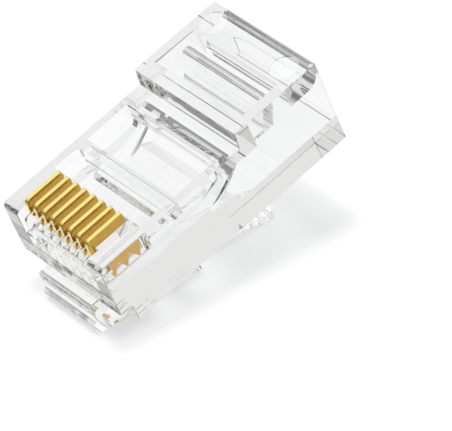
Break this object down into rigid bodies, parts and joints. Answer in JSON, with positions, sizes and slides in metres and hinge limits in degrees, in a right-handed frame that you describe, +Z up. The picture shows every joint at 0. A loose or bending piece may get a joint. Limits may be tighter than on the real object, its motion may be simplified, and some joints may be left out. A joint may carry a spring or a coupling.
{
  "type": "modular plug",
  "caption": "Clear moulded modular plug for twisted-pair network cable, with gold contact blades, a sprung latch and a fold-down cord clamp, not yet crimped.",
  "frame": {"origin": "middle of the footprint, on the surface that the plug lies on, resting on the bend and the tail tip of its latch", "axes": "+X across the plug to the right seen from the nose's side looking to the cord end, +Y level from the nose towards the cord end, +Z up; the plug itself is tipped nose down about X so that its latch lies on the surface"},
  "size_m": [0.0116, 0.0228, 0.0152],
  "materials": {
    "clear_plastic": "clear polycarbonate, moulded, polished",
    "gold_contact": "copper alloy stamping, gold plated"
  },
  "bodies": {
    "plug_body": {"housing": "clear_plastic"},
    "latch": {"latch_tab": "clear_plastic"},
    "cord_clamp": {"strain_relief_bar": "clear_plastic"},
    "blade_1": {"contact_1": "gold_contact"},
    "blade_2": {"contact_2": "gold_contact"},
    "blade_3": {"contact_3": "gold_contact"},
    "blade_4": {"contact_4": "gold_contact"},
    "blade_5": {"contact_5": "gold_contact"},
    "blade_6": {"contact_6": "gold_contact"},
    "blade_7": {"contact_7": "gold_contact"},
    "blade_8": {"contact_8": "gold_contact"}
  },
  "joints": [
    {"name": "latch_flex", "type": "hinge", "parent": "plug_body", "child": "latch", "pos_m": [0, -0.00997, 0.00071], "axis": [1, 0, 0], "range_deg": [0, 15], "stiffness_Nm_per_rad": 0.2},
    {"name": "clamp_fold", "type": "hinge", "parent": "plug_body", "child": "cord_clamp", "pos_m": [0, 0.00381, 0.01076], "axis": [-1, 0, 0], "range_deg": [0, 40]},
    {"name": "blade_1_press", "type": "slide", "parent": "plug_body", "child": "blade_1", "axis": [0, 0.2704, -0.9628], "range_m": [0, 0.00085]},
    {"name": "blade_2_press", "type": "slide", "parent": "plug_body", "child": "blade_2", "axis": [0, 0.2704, -0.9628], "range_m": [0, 0.00085]},
    {"name": "blade_3_press", "type": "slide", "parent": "plug_body", "child": "blade_3", "axis": [0, 0.2704, -0.9628], "range_m": [0, 0.00085]},
    {"name": "blade_4_press", "type": "slide", "parent": "plug_body", "child": "blade_4", "axis": [0, 0.2704, -0.9628], "range_m": [0, 0.00085]},
    {"name": "blade_5_press", "type": "slide", "parent": "plug_body", "child": "blade_5", "axis": [0, 0.2704, -0.9628], "range_m": [0, 0.00085]},
    {"name": "blade_6_press", "type": "slide", "parent": "plug_body", "child": "blade_6", "axis": [0, 0.2704, -0.9628], "range_m": [0, 0.00085]},
    {"name": "blade_7_press", "type": "slide", "parent": "plug_body", "child": "blade_7", "axis": [0, 0.2704, -0.9628], "range_m": [0, 0.00085]},
    {"name": "blade_8_press", "type": "slide", "parent": "plug_body", "child": "blade_8", "axis": [0, 0.2704, -0.9628], "range_m": [0, 0.00085]}
  ]
}
